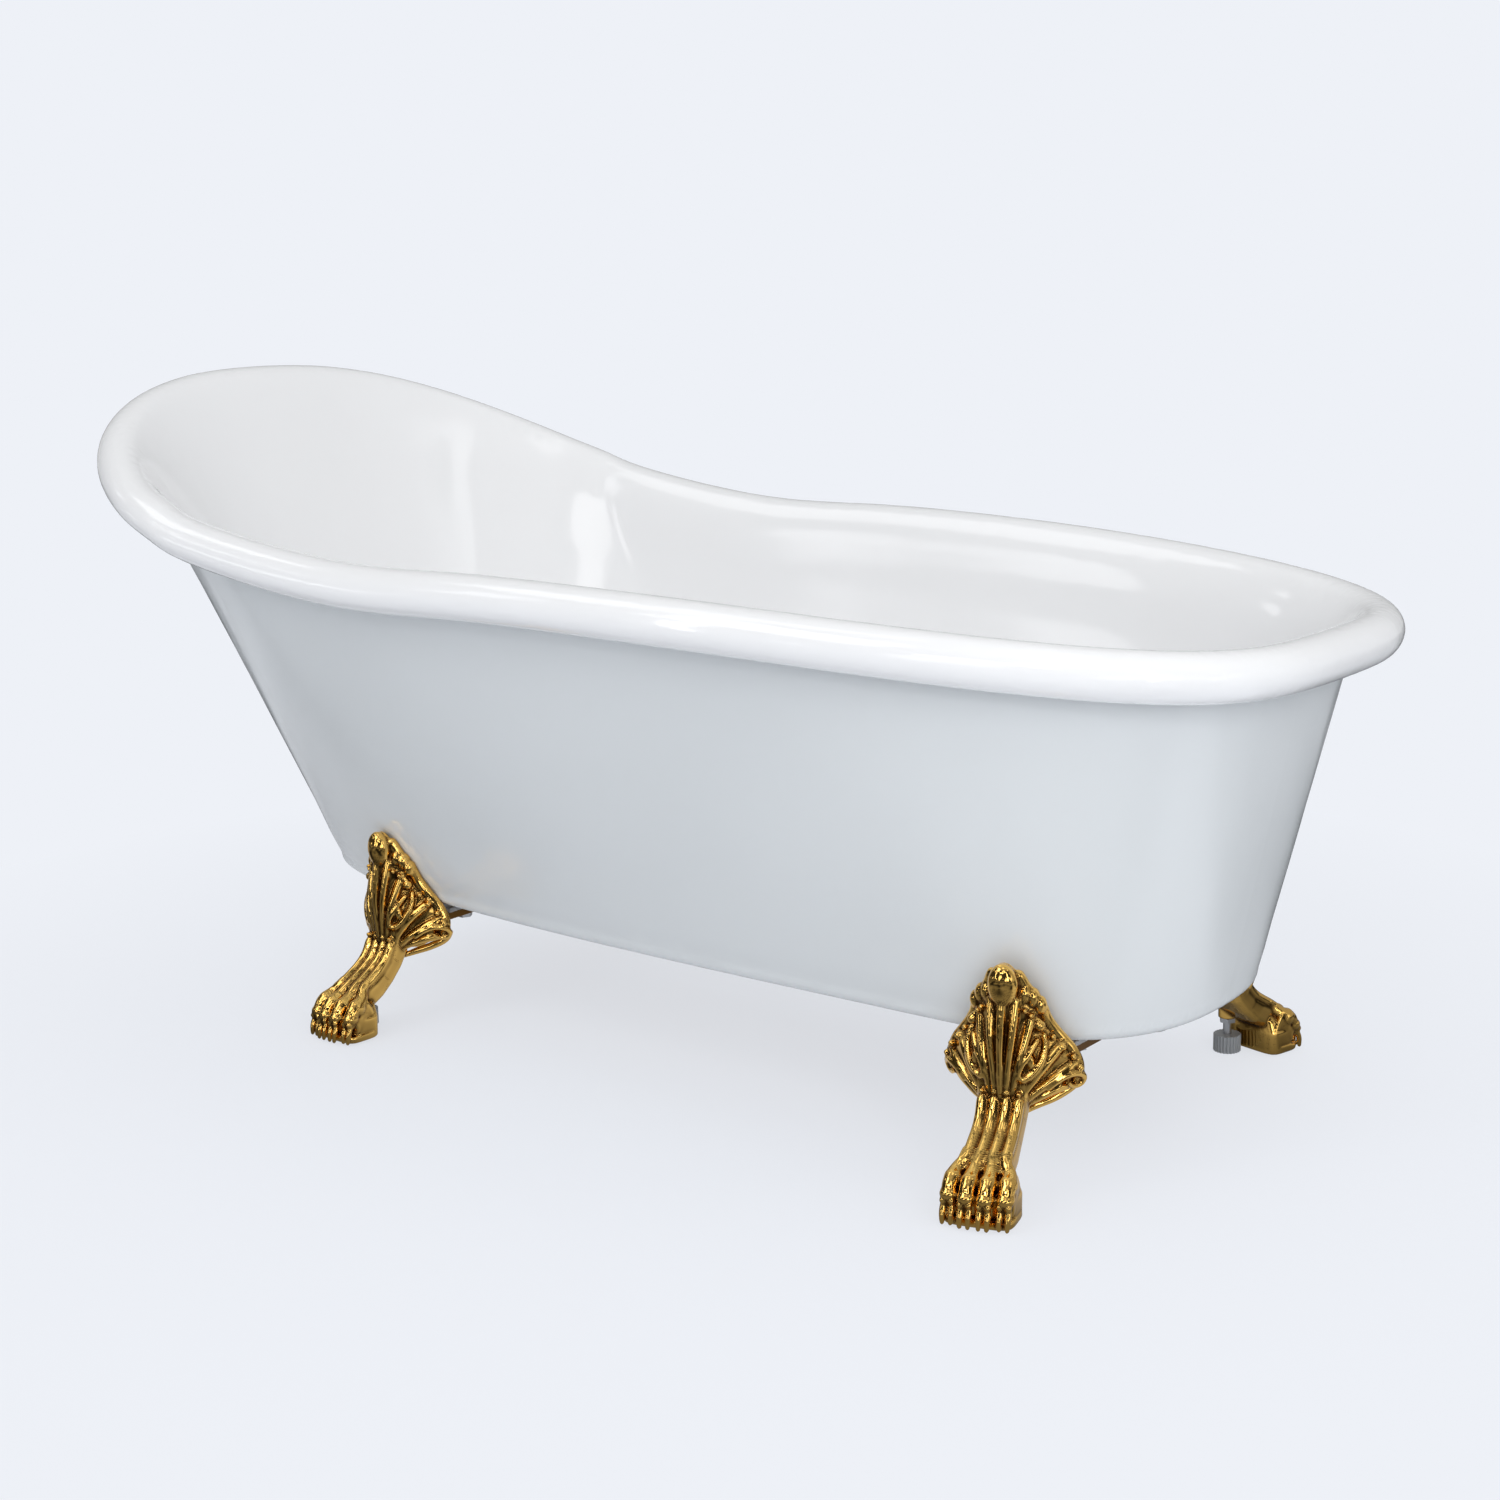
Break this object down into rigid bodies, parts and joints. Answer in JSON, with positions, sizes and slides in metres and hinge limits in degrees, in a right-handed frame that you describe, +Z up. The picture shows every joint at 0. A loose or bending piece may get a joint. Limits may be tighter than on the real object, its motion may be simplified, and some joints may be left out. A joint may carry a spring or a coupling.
{
  "type": "clawfoot bathtub",
  "caption": "Freestanding slipper bathtub with a raised head end, a rolled rim, an outer skirt and gilded claw feet, with pop-up waste, overflow and levelling pads.",
  "frame": {"origin": "on the floor under the middle of the tub's length and width", "axes": "+X towards the low foot end, where the drain is, +Y towards the far side, +Z up"},
  "size_m": [1.6, 0.8202, 0.774],
  "materials": {
    "basin_acrylic": "white high gloss",
    "skirt_acrylic": "pale grey white, glossy",
    "board": "bare, sealed",
    "frame_paint": "pale grey paint, satin",
    "zinc_steel": "zinc plated",
    "gold_brass": "polished gold",
    "chrome": "polished",
    "brass_fitting": "turned",
    "grey_plastic": "moulded",
    "pad_plastic": "moulded, ribbed",
    "rubber": "black"
  },
  "bodies": {
    "tub": {"basin_shell": "basin_acrylic", "outer_skirt": "skirt_acrylic", "base_board": "board", "side_rail_near": "frame_paint", "side_rail_far": "frame_paint", "cross_rail_head": "frame_paint", "cross_rail_foot": "frame_paint", "leg_plates": "frame_paint", "leg_bolts": "zinc_steel", "leg_washers": "zinc_steel", "leg_nuts": "zinc_steel", "levelling_lock_nuts": "zinc_steel", "waste_flange": "chrome", "overflow_cover": "chrome", "overflow_screw": "chrome", "plug_cartridge": "brass_fitting", "waste_washer": "grey_plastic", "waste_locknut": "grey_plastic", "waste_tee": "grey_plastic", "overflow_elbow": "grey_plastic", "overflow_pipe": "grey_plastic", "overflow_pipe_union": "grey_plastic", "waste_upper_seal": "rubber", "waste_lower_seal": "rubber", "overflow_inner_seal": "rubber", "overflow_outer_seal": "rubber", "leg_head_near": "gold_brass", "leg_head_far": "gold_brass", "leg_foot_near": "gold_brass", "leg_foot_far": "gold_brass"},
    "plug": {"waste_plug": "chrome", "plug_seal": "rubber"},
    "leveller_head_near": {"levelling_pad_head_near": "pad_plastic", "levelling_stem_head_near": "zinc_steel"},
    "leveller_head_far": {"levelling_pad_head_far": "pad_plastic", "levelling_stem_head_far": "zinc_steel"},
    "leveller_foot_near": {"levelling_pad_foot_near": "pad_plastic", "levelling_stem_foot_near": "zinc_steel"},
    "leveller_foot_far": {"levelling_pad_foot_far": "pad_plastic", "levelling_stem_foot_far": "zinc_steel"}
  },
  "joints": [
    {"name": "plug_slide", "type": "slide", "parent": "tub", "child": "plug", "axis": [0, 0, 1], "range_m": [0, 0.009]},
    {"name": "leveller_head_near_slide", "type": "slide", "parent": "tub", "child": "leveller_head_near", "axis": [0, 0, 1], "range_m": [-0.008, 0.009]},
    {"name": "leveller_head_far_slide", "type": "slide", "parent": "tub", "child": "leveller_head_far", "axis": [0, 0, 1], "range_m": [-0.008, 0.009]},
    {"name": "leveller_foot_near_slide", "type": "slide", "parent": "tub", "child": "leveller_foot_near", "axis": [0, 0, 1], "range_m": [-0.008, 0.009]},
    {"name": "leveller_foot_far_slide", "type": "slide", "parent": "tub", "child": "leveller_foot_far", "axis": [0, 0, 1], "range_m": [-0.008, 0.009]}
  ]
}
